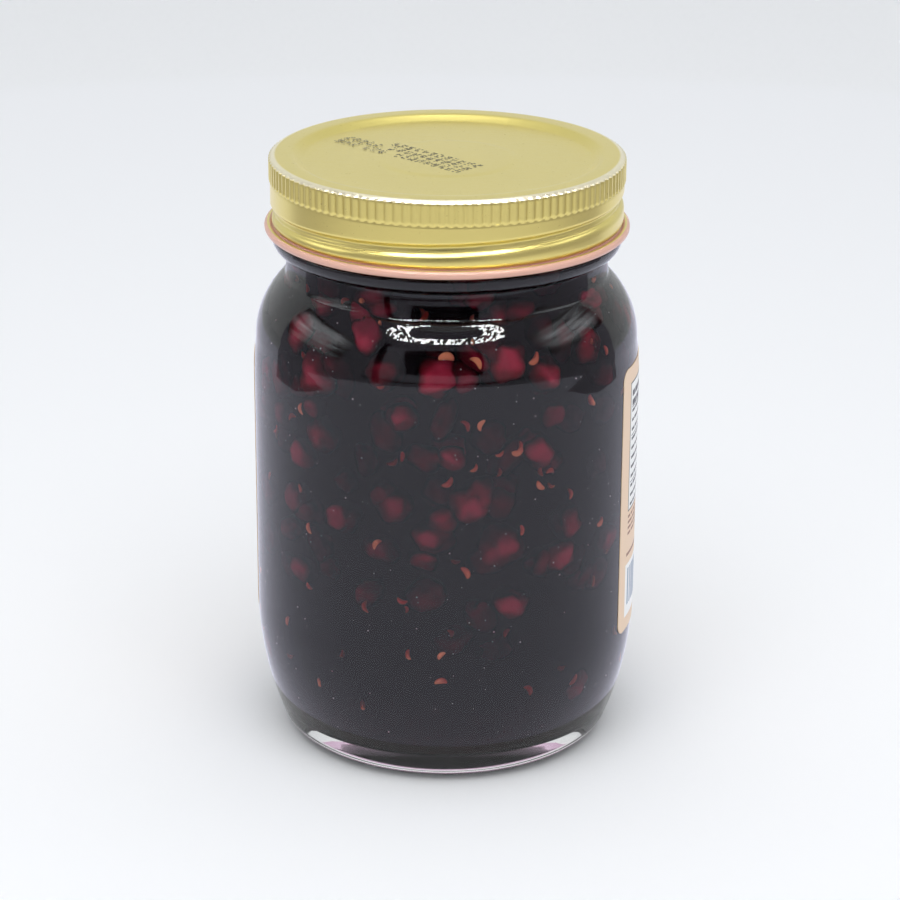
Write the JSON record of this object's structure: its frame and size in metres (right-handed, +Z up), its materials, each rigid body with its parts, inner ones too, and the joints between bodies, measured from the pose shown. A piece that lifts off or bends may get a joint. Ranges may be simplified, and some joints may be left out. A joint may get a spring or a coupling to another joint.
{
  "type": "jam jar",
  "caption": "Round clear glass jar filled with dark fruit jam, shut by a knurled gold screw cap, with a paper label wrapped round its back.",
  "frame": {"origin": "centre of the foot ring, on the surface that the jar stands on", "axes": "+Z up along the jar's axis, -Y towards the clear front, +X towards the visible end of the label"},
  "size_m": [0.0794, 0.0793, 0.124],
  "materials": {
    "glass": "clear soda-lime container glass",
    "jam": "dark fruit jam, almost black in this depth; gloss_plastic stands in for it",
    "lid": "tinplate with a satin gold lacquer, pinkish lacquer on the curl",
    "label": "peach coated paper"
  },
  "bodies": {
    "root": {"glass": "glass", "jam": "jam", "lid": "lid", "label": "label"}
  },
  "joints": []
}
